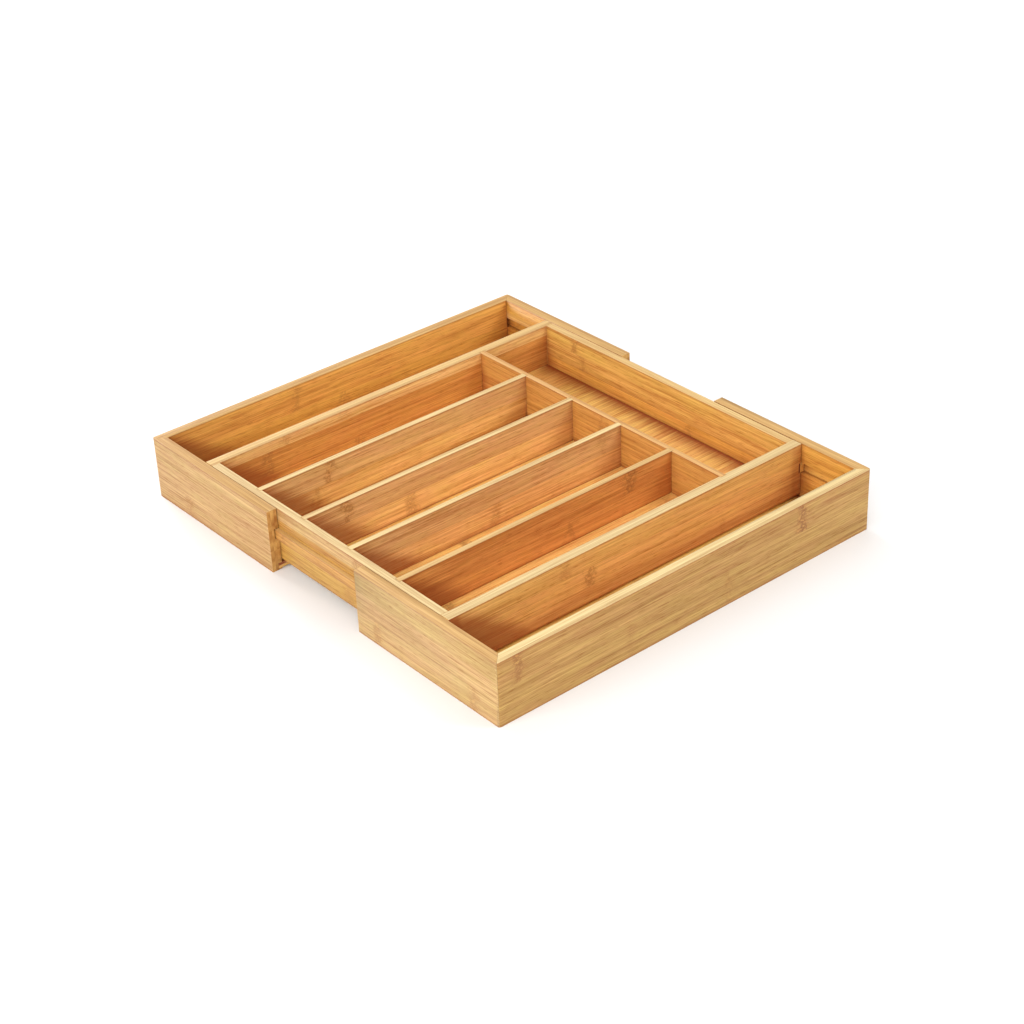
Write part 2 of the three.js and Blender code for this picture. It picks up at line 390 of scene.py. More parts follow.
class BoardFinish(Finish):
    """The finish of a board, or of a row of boards whose first one fills the box between two corners.

    First it finds what varies over the board: the strip, the grain and the knuckles. The colour is then
    built up by the later methods, in their order.
    """

    def __init__(self, name, corners, board):
        super().__init__(name)
        low, high = corners
        axes = (board.along, board.across, board.through)
        place = self.place()
        self.board = board
        self.along, self.across, self.through = (place[axis] - low[axis] for axis in axes)
        self.length, self.width, self.thickness = (high[axis] - low[axis] for axis in axes)
        self.layer_thickness = self.thickness / board.layers
        self.find_face()
        self.find_strip()
        self.draw_strip_looks()
        self.find_grain()
        self.find_knuckles()

    def find_face(self):
        """How much a point has the second of two tones: its high face's, or that of a row's last board."""
        if self.board.row_step:
            number = self.attribute("divider")
            self.strip = number * float(len(self.board.border_shares) + 1)
            self.through = self.through - number * self.board.row_step
            last_number = self.board.row_count - 1
            self.face = self.maths("GREATER_THAN", number, last_number - 0.5)
        else:
            self.strip = 0.0
            self.face = self.rise(self.through, *(self.thickness * share for share in FACE_CHANGE_SHARES))

    def find_strip(self):
        """The number of a point's strip, and its distance from the nearest seam."""
        self.above_borders = []
        self.from_seam = NO_SEAM_NEAR
        for share in self.board.border_shares:
            past_border = self.across - self.width * share
            above = self.maths("GREATER_THAN", past_border, 0.0)
            self.above_borders.append(above)
            self.strip = above + self.strip
            self.from_seam = self.least(self.maths("ABSOLUTE", past_border), self.from_seam)

    def draw_strip_looks(self):
        """How light and how pink each strip of each layer is, and how far its grain is shifted."""
        layer = self.maths("FLOOR", self.through / self.layer_thickness * LAST_LAYER_SHARE)
        number = layer * LAYER_NUMBERS + self.strip * STRIP_NUMBERS + float(self.board.seed * SEED_NUMBERS)
        chance = self.chance(number)
        self.shift = chance * SHIFT_RANGE
        self.strip_light = chance - EVEN_CHANCE
        self.strip_hue = self.chance(number + HUE_NUMBER) - EVEN_CHANCE

    def noise_here(self, length, width, detail, start=0.0):
        """Noise that is stretched along the fibres and differs from strip to strip."""
        return self.noise(
            self.along / length + start,
            self.across / width,
            self.through / width + self.shift,
            detail,
        )

    def find_grain(self):
        self.band = self.noise_here(BAND_LENGTH, BAND_WIDTH, LITTLE_DETAIL, self.shift)
        self.streak = self.noise_here(STREAK_LENGTH, STREAK_WIDTH, SOME_DETAIL, self.shift)
        self.fibre = self.noise_here(FIBRE_LENGTH, FIBRE_WIDTH, SOME_DETAIL, self.shift)
        self.blotch = self.noise_here(BLOTCH_LENGTH, BLOTCH_WIDTH, LITTLE_DETAIL, self.shift)
        self.pore = self.rise(self.noise_here(PORE_LENGTH, PORE_WIDTH, NO_DETAIL, self.shift), *PORE_RISE)

    def find_knuckles(self):
        """How near a knuckle is, and how much its curls and its two bent ridges mark the wood."""
        bend = self.noise_here(KNUCKLE_BEND_LENGTH, KNUCKLE_BEND_WIDTH, LITTLE_DETAIL)
        bent_along = self.along + bend * KNUCKLE_BEND
        self.knuckle = 0.0
        ridge = 0.0
        for place_share, strip, strength in self.board.knuckle_shares:
            in_strip = self.maths("COMPARE", self.strip, float(strip)) if self.board.border_shares else 1.0
            distance = self.maths("ABSOLUTE", bent_along - self.length * place_share)
            near = self.fall(distance, 0.0, KNUCKLE_HALF_LENGTH) * in_strip * strength
            self.knuckle = self.most(near, self.knuckle)
            from_ridge = self.maths("ABSOLUTE", distance - KNUCKLE_RIDGE_PLACE)
            line = self.fall(from_ridge, 0.0, KNUCKLE_RIDGE) * in_strip * strength
            ridge = self.most(line, ridge)
        curl = self.noise_here(CURL_LENGTH, CURL_WIDTH, MUCH_DETAIL)
        curled = self.fall(self.maths("ABSOLUTE", curl), *CURL_RISE) * self.knuckle * CURL_SHARE
        ridged = self.rise(curl, *RIDGE_RISE) * ridge * RIDGE_SHARE
        self.marked = self.most(curled, ridged)

    def plus_features(self, plain, shares):
        """A plain value, and beside it the features named in a table, each by its share."""
        total = plain
        for feature, share in shares.items():
            total = total + getattr(self, feature) * share
        return total

    def strip_tones(self, tones, shares):
        """One tone, or several from the lowest strip up, each darkened or lightened by its shares."""
        first, *others = tones if isinstance(tones[0], tuple) else (tones,)
        tone = shaded(first, shares)
        for above, next_tone in zip(self.above_borders, others):
            tone = self.blend(above, tone, shaded(next_tone, shares))
        return tone

    def between_faces(self, tone_pair, lightness):
        """From dark to light in the tone of the nearer face."""
        dark, light = (
            self.blend(self.face, *(self.strip_tones(tones, shares) for tones in tone_pair))
            for shares in (DARK_SHARES, LIGHT_SHARES)
        )
        return self.blend(lightness, dark, light)

    def stain(self, share, tone):
        """Turns the colour so far towards a tone."""
        self.colour = self.blend(share, self.colour, tone)

    def colour_grain(self):
        lightness = self.plus_features(FACE_LIGHT, FACE_LIGHT_SHARES)
        tint = self.blend(self.plus_features(PLAIN_TINT, TINT_SHARES), STRAW_TINT, PINK_TINT)
        self.colour = self.blend(1.0, self.between_faces(self.board.faces, lightness), tint, "MULTIPLY")

    def mark_knuckles(self):
        self.stain(self.knuckle * KNUCKLE_SHARE, COPPER)
        self.stain(self.marked, KNUCKLE_BROWN)

    def from_ends(self):
        """A point's distances from the start and from the end of its compartment."""
        start_margin, end_margin, _ = self.board.margins
        return self.along - start_margin, self.length - end_margin - self.along

    def paint_compartment_shade(self):
        """Painted shade at the foot of a compartment's boards, and painted shadow at its ends."""
        board = self.board
        low_inside, high_inside = board.inside
        inside = low_inside if board.row_step else low_inside + self.face * (high_inside - low_inside)
        drop = 0.0
        painted_shade = 0.0
        if board.across == Z:
            drop = self.width - self.across
            above_foot = self.across - board.margins[-1]
            painted_shade = self.fall(above_foot, 0.0, FOOT_SHADE_REACH) * FOOT_SHADE_SHARE
        for from_end, end_shade in zip(self.from_ends(), board.end_shades):
            place = from_end - drop * end_shade.spread + self.streak * FOOT_SHADE_REACH
            near = self.fall(place, end_shade.darkest_to, end_shade.gone_by) * end_shade.strength
            closest = self.fall(from_end, 0.0, CREASE_SHADE_REACH) * CREASE_SHADE_SHARE
            painted_shade = self.most(near + closest, painted_shade)
        self.stain(painted_shade * inside, SHADE_BROWN)

    def paint_groove_shade(self):
        """Painted shade on the lower face of a groove, and deeper painted shade at the mouth of its blind
        end.
        """
        bottom, top, groove_depth = self.board.groove
        depth = self.through if self.board.inside == LOW_FACE else self.thickness - self.through
        below_surface = self.rise(depth, SKIN / 2, SKIN)
        above_ground = self.fall(depth, groove_depth, groove_depth + SKIN)
        above_bottom = self.rise(self.across, bottom - SKIN, bottom)
        below_top = self.fall(self.across, top, top + SKIN)
        in_groove = below_surface * above_ground * above_bottom * below_top
        lower_face = self.fall(self.across, bottom + SKIN, bottom + SKIN * 2)
        far_in = self.rise(depth, *(groove_depth * share for share in GROOVE_SHADE_DEPTH_SHARES))
        self.stain(lower_face * far_in * in_groove * GROOVE_SHADE_SHARE, GROOVE_SHADE_BROWN)
        blind = self.fall(self.least(*self.from_ends()), 0.0, BLIND_SHADE_REACH)
        mouth = self.fall(depth, DEEP_SHADE_REACH / 2, DEEP_SHADE_REACH)
        self.stain(blind * mouth * in_groove * DEEP_SHADE_SHARE, DEEP_SHADE_BROWN)

    def colour_edges(self):
        """The narrow upper and lower edges show the layers, and painted shade darkens the faces beside
        them.
        """
        from_edge = self.least(self.across, self.width - self.across)
        # Painted shade along the upper and lower edges of each face
        self.stain(self.fall(from_edge, SKIN, RIM_SHADE_REACH) * RIM_SHADE_SHARE, SHADE_BROWN)
        colour = self.between_faces(self.board.edges, self.plus_features(EDGE_LIGHT, EDGE_LIGHT_SHARES))
        layer_line = self.fall(self.maths("PINGPONG", self.through, self.layer_thickness), 0.0, LAYER_LINE)
        colour = self.blend(layer_line * LAYER_LINE_SHARE, colour, GLUE_BROWN)
        self.stain(self.fall(from_edge, SKIN / 2, SKIN), colour)

    def draw_seams(self):
        self.stain(self.fall(self.from_seam, 0.0, GLUE_LINE) * SEAM_SHARE, GLUE_BROWN)

    def colour_ends(self):
        """Sawn ends show the fibres as dark dots."""
        self.from_end = self.least(self.along, self.length - self.along)
        self.end = self.fall(self.from_end, SKIN / 2, SKIN)
        dots = self.noise(self.across / END_DOT, self.through / END_DOT, self.shift, LITTLE_DETAIL)
        self.end_dots = self.rise(dots, *END_DOT_RISE)
        block_place = (self.across / BLOTCH_WIDTH, self.through / BLOTCH_WIDTH, self.shift)
        self.end_block = self.noise(*block_place, LITTLE_DETAIL)
        dark, light = (shaded(self.board.end_tone, shares) for shares in (DARK_SHARES, LIGHT_SHARES))
        colour = self.blend(self.plus_features(END_LIGHT, END_LIGHT_SHARES), dark, light)
        # A rail's end gets painted shade beside its glued face, where it meets the tray
        if self.board.shaded_glued_face:
            depth = self.through if self.board.shaded_glued_face == "low" else self.thickness - self.through
            colour = self.blend(self.fall(depth, DEEP_SHADE_REACH / 2, DEEP_SHADE_REACH), colour, DEEP_SHADE_BROWN)
        self.stain(self.end, colour)

    def wear_edges(self):
        """Handled edges are paler. An edge is as near as the second nearest side of the board."""
        from_side = self.least(self.across, self.width - self.across)
        from_face = self.least(self.through, self.thickness - self.through)
        smaller, larger = self.least(from_side, from_face), self.most(from_side, from_face)
        from_edge = self.most(smaller, self.least(larger, self.from_end))
        strayed = from_edge + self.fibre * (WORN_WIDTH * WORN_STRAY_SHARE)
        self.worn = self.fall(strayed, 0.0, WORN_WIDTH)
        self.stain(self.worn * WORN_SHARE, PEACH)

    def made(self):
        roughness = self.plus_features(PLAIN_ROUGHNESS, ROUGHNESS_SHARES)
        return self.surface(self.colour, roughness, self.plus_features(0.0, RELIEF_SHARES), FIBRE_RELIEF)


def bamboo(name, corners, board):
    """The material of a board, or of a row of boards."""
    finish = BoardFinish(name, corners, board)
    finish.colour_grain()
    finish.mark_knuckles()
    if any(board.inside):
        finish.paint_compartment_shade()
    if board.groove:
        finish.paint_groove_shade()
    if board.across == Z:
        finish.colour_edges()
    if board.border_shares:
        finish.draw_seams()
    finish.colour_ends()
    finish.wear_edges()
    return finish.made()


# Boards

RECORD = frame["record"]
BODY_OF = {node: body for body, nodes in RECORD["behaviour"]["bodies"].items() for node in nodes}


def surface_tree(node):
    mesh = frame["nodes"][node].data
    return BVHTree.FromPolygons(
        [vertex.co for vertex in mesh.vertices],
        [tuple(face.vertices) for face in mesh.polygons],
    )


SURFACES = {node: surface_tree(node) for node in BODY_OF}


def gap_to(point, nodes):
    """The distance from a point to the nearest of the nodes."""
    return min(SURFACES[node].find_nearest(point)[3] for node in nodes)


def partners(node, same_body):
    return [other for other in BODY_OF if other != node and (BODY_OF[other] == BODY_OF[node]) == same_body]


def touching(first, second, gap):
    """Whether the boxes of two nodes are within a gap of each other."""
    (low, high), (other_low, other_high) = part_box(first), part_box(second)
    return all(
        low[axis] - gap < other_high[axis] and other_low[axis] - gap < high[axis] for axis in (X, Y, Z)
    )


def cut_at_joints(shape, node):
    """Divides the faces of a board where the boards glued to it begin and end."""
    low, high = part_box(node)
    for other in partners(node, True):
        if not touching(node, other, GLUED_GAP):
            continue
        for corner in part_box(other):
            for axis in (X, Y, Z):
                if low[axis] + GLUED_GAP < corner[axis] < high[axis] - GLUED_GAP:
                    facing = Vector((0, 0, 0))
                    facing[axis] = 1
                    parts = [*shape.verts, *shape.edges, *shape.faces]
                    bmesh.ops.bisect_plane(shape, geom=parts, plane_co=corner, plane_no=facing)


def round_corner(shape, corner, radius):
    """Cuts an upright outer corner round, facet by facet."""
    outwards = Vector((math.copysign(1, corner.x), math.copysign(1, corner.y), 0))
    centre = corner - outwards * radius
    for step in range(CORNER_STEPS):
        angle = math.pi / 2 * (step + 0.5) / CORNER_STEPS
        facing = Vector((outwards.x * math.cos(angle), outwards.y * math.sin(angle), 0))
        parts = [*shape.verts, *shape.edges, *shape.faces]
        cut = bmesh.ops.bisect_plane(
            shape, geom=parts, plane_co=centre + facing * radius, plane_no=facing, clear_outer=True
        )
        rim = [part for part in cut["geom_cut"] if isinstance(part, bmesh.types.BMEdge)]
        bmesh.ops.holes_fill(shape, edges=rim)


def ease_edges(shape, node):
    """Marks how far each edge is rounded: not in a glued joint, and less beside a sliding piece."""
    glued, sliding = partners(node, True), partners(node, False)
    weight = shape.edges.layers.float.new("bevel_weight_edge")
    for edge in shape.edges:
        middle = (edge.verts[0].co + edge.verts[1].co) / 2
        bent = edge.calc_face_angle() > EDGE_ANGLE
        if bent and edge.is_convex and gap_to(middle, glued) > GLUED_GAP:
            edge[weight] = GROOVE_EASING_SHARE if gap_to(middle, sliding) < SLIDING_GAP else 1.0
        edge.smooth = not bent or edge[weight] > 0


def shown(name, mesh):
    board = bpy.data.objects.new(name, mesh)
    bpy.context.scene.collection.objects.link(board)
    for face in mesh.polygons:
        face.use_smooth = True
    return board


def eased_board(node, easing, corners):
    """A board in a node's place, with its outer corners rounded and its free edges eased."""
    shape = bmesh.new()
    shape.from_mesh(frame["nodes"][node].data)
    bmesh.ops.remove_doubles(shape, verts=shape.verts, dist=MERGE_DISTANCE)
    bmesh.ops.dissolve_limit(shape, angle_limit=FLAT_ANGLE, verts=shape.verts, edges=shape.edges)
    cut_at_joints(shape, node)
    for corner in corners:
        round_corner(shape, corner, CORNER_RADIUS)
    bmesh.ops.recalc_face_normals(shape, faces=shape.faces)
    ease_edges(shape, node)
    mesh = bpy.data.meshes.new(f"{node}_wood")
    shape.to_mesh(mesh)
    shape.free()
    board = shown(f"{node}_wood", mesh)
    bevel = board.modifiers.new("eased edges", "BEVEL")
    bevel.width = easing
    bevel.segments = EASING_STEPS
    bevel.limit_method = "WEIGHT"
    bevel.harden_normals = True
    return board


def put_in_place(board, nodes, material):
    """Gives a board its finish and puts it in the place of its nodes."""
    board.data.materials.clear()
    board.data.materials.append(material)
    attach(board, BODY_OF[nodes[0]])
    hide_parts(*nodes)


def make_board(node, easing, lamination, corners=()):
    material = bamboo(f"{node}_bamboo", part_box(node), lamination)
    put_in_place(eased_board(node, easing, corners), [node], material)


# How far a seam strays from its even place, and where unseen knuckles lie along a strip
SEAM_STRAY_SHARE = 0.16
FIRST_KNUCKLE_SHARES = (0.05, 0.6)
NEXT_KNUCKLE_SHARES = (0.5, 0.8)
STRENGTH_SHARES = (0.4, 0.8)


def borders(seed, strips):
    """Where across a board its strips meet: about evenly, but not quite."""
    rng = random.Random(seed)
    strays = [rng.uniform(-SEAM_STRAY_SHARE, SEAM_STRAY_SHARE) for _ in range(1, strips)]
    return tuple((number + stray) / strips for number, stray in enumerate(strays, start=1))


def unseen_knuckles(seed, strips):
    """Knuckles for a board that the photograph shows little of."""
    rng = random.Random(seed)
    knuckles = []
    for strip in range(strips):
        place = rng.uniform(*FIRST_KNUCKLE_SHARES)
        while place < 1:
            knuckles.append((place, strip, rng.uniform(*STRENGTH_SHARES)))
            place += rng.uniform(*NEXT_KNUCKLE_SHARES)
    return tuple(knuckles)


def margins(node, along, ends, floor):
    """How far a board goes on beyond its compartment: at its start, at its end and below its foot."""
    low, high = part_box(node)
    first, last = ends
    return (
        max(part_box(first)[1][along] - low[along], 0.0),
        max(high[along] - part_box(last)[0][along], 0.0),
        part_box(floor)[1].z - low.z,
    )


def rail_groove(node, rail):
    """The lower edge, the upper edge and the depth of the groove in a wing's board for a rail."""
    low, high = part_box(node)
    rail_low, rail_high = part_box(rail)
    face = low.y if low.y > 0 else high.y
    tip = rail_high.y if low.y > 0 else rail_low.y
    return rail_low.z - low.z - RAIL_PLAY, rail_high.z - low.z + RAIL_PLAY, abs(tip - face) + RAIL_TIP_GAP


ONE_STRIP = 1
BOARD_LAYERS = 3
THIN_LAYERS = 2
RAIL_SEED, BATTEN_SEED, CROSS_DIVIDER_SEED, FLOOR_SEED, LONG_DIVIDERS_SEED = 30, 32, 35, 40, 50
TRAY_ENDS = ("tray_front_board", "tray_back_board")
TRAY_SIDES = ("tray_left_side_board", "tray_right_side_board")
SIDE_END_SHADES = (LEFT_END_SHADE, RIGHT_END_SHADE)


def side_board(node, ends, floor, corners=(), **values):
    """A board that runs front to back between two others, above a floor. Its low face is the left one."""
    beyond = margins(node, Y, ends, floor)
    lamination = Bamboo(Y, Z, X, BOARD_LAYERS, margins=beyond, **values)
    make_board(node, BOARD_EASING, lamination, corners)


def end_board(node, sides, floor, corners=(), **values):
    """A board that runs left to right between two others, above a floor. Its low face is the front one."""
    beyond = margins(node, X, sides, floor)
    lamination = Bamboo(X, Z, Y, BOARD_LAYERS, margins=beyond, end_shades=SIDE_END_SHADES, **values)
    make_board(node, BOARD_EASING, lamination, corners)


# Knuckles that show in the photograph: place along the board, strip and strength
TRAY_FRONT_KNUCKLE_SHARES = ((0.655, 2, 0.7), (0.61, 0, 0.4), (0.2, 0, 0.5), (0.9, 1, 0.4))
TRAY_BACK_KNUCKLE_SHARES = ((0.13, 2, 0.75), (0.16, 1, 0.6), (0.62, 0, 0.4))
TRAY_LEFT_KNUCKLE_SHARES = ((0.145, 1, 0.7), (0.20, 2, 0.45), (0.40, 0, 0.8), (0.36, 2, 0.3))
TRAY_RIGHT_KNUCKLE_SHARES = ((0.37, 1, 0.85), (0.30, 2, 0.4), (0.75, 0, 0.4))
LEFT_WING_KNUCKLE_SHARES = ((0.49, 1, 0.5), (0.36, 2, 0.45), (0.8, 0, 0.5))
RIGHT_WING_KNUCKLE_SHARES = ((0.048, 1, 1.0), (0.59, 0, 0.4), (0.80, 1, 1.3), (0.33, 0, 0.3))

# The dividers' strips are numbered on from one divider to the next, two to each.
DIVIDER_KNUCKLE_SHARES = (
    (0.24, 1, 0.9),
    (0.19, 0, 0.5),
    (0.145, 3, 0.95),
    (0.37, 2, 0.6),
    (0.92, 5, 0.3),
    (0.51, 4, 0.5),
    (0.83, 7, 1.0),
    (0.60, 6, 0.6),
)


def tray_front_board():
    end_board(
        "tray_front_board", TRAY_SIDES, "tray_floor",
        seed=1, faces=((TOFFEE, TOFFEE, SAND), AMBER), inside=HIGH_FACE,
        border_shares=(0.38, 0.78), knuckle_shares=TRAY_FRONT_KNUCKLE_SHARES,
    )


def tray_back_board():
    end_board(
        "tray_back_board", TRAY_SIDES, "tray_floor",
        seed=2, faces=((SYRUP, GOLD), SAND), edges=(APRICOT, APRICOT), inside=LOW_FACE,
        border_shares=(0.4, 0.7), knuckle_shares=TRAY_BACK_KNUCKLE_SHARES,
    )


def tray_left_side_board():
    side_board(
        "tray_left_side_board", TRAY_ENDS, "tray_floor",
        seed=3, faces=(SAND, (RUSSET, RUSSET, CINNAMON)), edges=(APRICOT, APRICOT), inside=BOTH_FACES,
        border_shares=(0.35, 0.8), knuckle_shares=TRAY_LEFT_KNUCKLE_SHARES,
    )


def tray_right_side_board():
    side_board(
        "tray_right_side_board", TRAY_ENDS, "tray_floor",
        seed=4, faces=(RUSSET, GINGER), inside=BOTH_FACES,
        border_shares=(0.31, 0.66), knuckle_shares=TRAY_RIGHT_KNUCKLE_SHARES,
    )


WING_PARTS = ("side_board", "front_board", "back_board", "floor")
WING_END_STRIPS = 3

# From a wing's seed to the seeds of its end boards
FRONT_STEP, BACK_STEP, BACK_KNUCKLE_STEP = 1, 4, 2


def wing_boards(name, seed, back_tone, **side_values):
    """A wing's three boards. Its outer corners are those of the whole object on its side.

    The front board has its few knuckles in the lowest of its three strips.
    """
    side, front, back, floor = (f"{name}_{part}" for part in WING_PARTS)
    low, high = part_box(side)
    on_left = abs(low.x) > abs(high.x)
    outer = low.x if on_left else high.x
    front_corner, back_corner = (Vector((outer, y, 0)) for y in (low.y, high.y))
    inside = HIGH_FACE if on_left else LOW_FACE
    corners = (front_corner, back_corner)
    side_board(side, (front, back), floor, corners, seed=seed, inside=inside, **side_values)

    sides = (side, TRAY_SIDES[0]) if on_left else (TRAY_SIDES[1], side)
    shared = {"edges": (OAT, OAT), "border_shares": borders(seed, WING_END_STRIPS)}
    end_board(
        front, sides, floor, (front_corner,),
        seed=seed + FRONT_STEP, faces=(SAND, AMBER), inside=HIGH_FACE,
        knuckle_shares=unseen_knuckles(seed + FRONT_STEP, ONE_STRIP),
        groove=rail_groove(front, "front_rail"), **shared,
    )
    end_board(
        back, sides, floor, (back_corner,),
        seed=seed + BACK_STEP, faces=(back_tone, SAND), inside=LOW_FACE,
        knuckle_shares=unseen_knuckles(seed + BACK_KNUCKLE_STEP, WING_END_STRIPS),
        groove=rail_groove(back, "back_rail"), **shared,
    )


def left_wing_boards():
    wing_boards(
        "left_wing", seed=10, back_tone=OCHRE, faces=(BISCUIT, SYRUP), edges=(OAT, OAT),
        border_shares=(0.36, 0.56), knuckle_shares=LEFT_WING_KNUCKLE_SHARES,
    )


def right_wing_boards():
    wing_boards(
        "right_wing", seed=20, back_tone=MUSTARD, faces=(AMBER, BISCUIT), edges=(CREAM, CREAM),
        border_shares=(0.55,), knuckle_shares=RIGHT_WING_KNUCKLE_SHARES,
    )


def cross_divider():
    border_shares = (0.52,)
    strips = len(border_shares) + 1
    beyond = margins("cross_divider", X, TRAY_SIDES, "tray_floor")
    lamination = Bamboo(
        X, Z, Y, THIN_LAYERS, CROSS_DIVIDER_SEED, faces=(COPPER, COPPER), edges=(CARAMEL, CARAMEL),
        border_shares=border_shares, knuckle_shares=unseen_knuckles(CROSS_DIVIDER_SEED, strips),
        inside=BOTH_FACES, margins=beyond, end_shades=SIDE_END_SHADES,
    )
    make_board("cross_divider", DIVIDER_EASING, lamination)


GLUED_FACES = {"front_rail": "high", "back_rail": "low"}
STOP_BATTENS = ("left_wing_stop_batten", "right_wing_stop_batten")


def rails():
    """The strips on which the wings slide, glued to the tray with one face each."""
    for seed, (node, shaded_glued_face) in enumerate(GLUED_FACES.items(), start=RAIL_SEED):
        lamination = Bamboo(
            X, Z, Y, THIN_LAYERS, seed, faces=(TOFFEE, TOFFEE), edges=(OAT, OAT), end_tone=SYRUP,
            border_shares=(), knuckle_shares=unseen_knuckles(seed, ONE_STRIP), shaded_glued_face=shaded_glued_face,
        )
        make_board(node, STRIP_EASING, lamination)


def stop_battens():
    for seed, node in enumerate(STOP_BATTENS, start=BATTEN_SEED):
        lamination = Bamboo(
            Y, X, Z, THIN_LAYERS, seed, faces=(SAND, SAND),
            border_shares=(), knuckle_shares=unseen_knuckles(seed, ONE_STRIP),
        )
        make_board(node, STRIP_EASING, lamination)


FLOOR_STRIP = 22 * MILLIMETRE
FLOOR_LAYERS = 1
FLOOR_ENDS = {
    "tray_floor": TRAY_ENDS,
    "left_wing_floor": ("left_wing_front_board", "left_wing_back_board"),
    "right_wing_floor": ("right_wing_front_board", "right_wing_back_board"),
}


def floors():
    """The floor panels: strips side by side that run front to back."""
    for seed, (node, (front, back)) in enumerate(FLOOR_ENDS.items(), start=FLOOR_SEED):
        low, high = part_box(node)
        strips = round((high.x - low.x) / FLOOR_STRIP)
        beyond = (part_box(front)[1].y - low.y, high.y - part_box(back)[0].y, 0.0)
        lamination = Bamboo(
            Y, X, Z, FLOOR_LAYERS, seed, faces=(HONEY, HONEY), inside=HIGH_FACE,
            border_shares=borders(seed, strips), knuckle_shares=unseen_knuckles(seed, strips),
            margins=beyond, end_shades=(FLOOR_END_SHADE, FLOOR_END_SHADE),
        )
        panel = frame["nodes"][node]
        panel.data.materials.clear()
        panel.data.materials.append(bamboo(f"{node}_bamboo", (low, high), lamination))


# The row of long dividers

ROW_LENGTHS = ("Spacing", "Length", "Height", "Thickness", "Easing")


class ShapeTree:
    """A Geometry Nodes tree being made."""

    def __init__(self, name):
        self.tree = bpy.data.node_groups.new(name, "GeometryNodeTree")

    def ask(self, name, kind):
        """An input of the tree."""
        self.tree.interface.new_socket(name, in_out="INPUT", socket_type=f"NodeSocket{kind}")

    def give(self, name, geometry):
        """The tree's output."""
        self.tree.interface.new_socket(name, in_out="OUTPUT", socket_type="NodeSocketGeometry")
        self.node("NodeGroupOutput", {}, {name: geometry})

    def node(self, kind, settings, sockets):
        """A node of any kind: its settings are set first, then its sockets' values and links."""
        node = self.tree.nodes.new(kind)
        for name, value in settings.items():
            setattr(node, name, value)
        for name, value in sockets.items():
            target = next(socket for socket in node.inputs if socket.enabled and socket.name == name)
            if isinstance(value, bpy.types.NodeSocket):
                self.tree.links.new(value, target)
            else:
                target.default_value = value
        return node

    def made(self, kind, settings, sockets):
        """A node's first output."""
        return self.node(kind, settings, sockets).outputs[0]


def eased_outline(shape, given):
    """A board's upright section, with its two upper corners rounded."""
    size = {"Width": given["Thickness"], "Height": given["Height"]}
    rectangle = shape.made("GeometryNodeCurvePrimitiveQuadrilateral", {"mode": "RECTANGLE"}, size)
    corner = shape.made("GeometryNodeInputPosition", {}, {})
    height = shape.node("ShaderNodeSeparateXYZ", {}, {"Vector": corner}).outputs["Y"]
    at_top = shape.made("FunctionNodeCompare", {"operation": "GREATER_THAN"}, {"A": height, "B": 0.0})
    choice = {"Switch": at_top, "False": 0.0, "True": given["Easing"]}
    radius = shape.made("GeometryNodeSwitch", {"input_type": "FLOAT"}, choice)
    rounding = {"Curve": rectangle, "Count": EASING_STEPS, "Radius": radius}
    return shape.made("GeometryNodeFilletCurve", {"mode": "POLY"}, rounding)


def swept_board(shape, given):
    """A board with that section, which runs from the origin to the back."""
    far_end = shape.made("ShaderNodeCombineXYZ", {}, {"Y": given["Length"]})
    path = shape.made("GeometryNodeCurvePrimitiveLine", {"mode": "POINTS"}, {"End": far_end})
    sweep = {"Curve": path, "Profile Curve": eased_outline(shape, given), "Fill Caps": True}
    return shape.made("GeometryNodeCurveToMesh", {}, sweep)


def divider_row_tree():
    """A row of boards from the first foot to the right. Each keeps its number in the row, from 0."""
    shape = ShapeTree("divider row")
    shape.ask("Count", "Int")
    shape.ask("First Foot", "Vector")
    for name in ROW_LENGTHS:
        shape.ask(name, "Float")
    shape.ask("Material", "Material")
    given = shape.node("NodeGroupInput", {}, {}).outputs

    step = shape.made("ShaderNodeCombineXYZ", {}, {"X": given["Spacing"]})
    line = {"Count": given["Count"], "Start Location": given["First Foot"], "Offset": step}
    feet = shape.made("GeometryNodeMeshLine", {"mode": "OFFSET"}, line)
    places = {"Points": feet, "Instance": swept_board(shape, given)}
    row = shape.made("GeometryNodeInstanceOnPoints", {}, places)
    index = shape.made("GeometryNodeInputIndex", {}, {})
    kept = {"data_type": "FLOAT", "domain": "INSTANCE"}
    number = {"Geometry": row, "Name": "divider", "Value": index}
    numbered = shape.made("GeometryNodeStoreNamedAttribute", kept, number)
    whole = shape.made("GeometryNodeRealizeInstances", {}, {"Geometry": numbered})
    dressing = {"Geometry": whole, "Material": given["Material"]}
    shape.give("Row", shape.made("GeometryNodeSetMaterial", {}, dressing))
    return shape.tree


def made_by(tree, values):
    """The plain mesh that a Geometry Nodes tree makes from the given values."""
    host = bpy.data.objects.new("row host", bpy.data.meshes.new("row host"))
    bpy.context.scene.collection.objects.link(host)
    modifier = host.modifiers.new("row", "NODES")
    modifier.node_group = tree
    for item in tree.interface.items_tree:
        if item.in_out == "INPUT":
            modifier[item.identifier] = values[item.name]
    evaluated = host.evaluated_get(bpy.context.evaluated_depsgraph_get())
    mesh = bpy.data.meshes.new_from_object(evaluated)
    bpy.data.objects.remove(host)
    return mesh


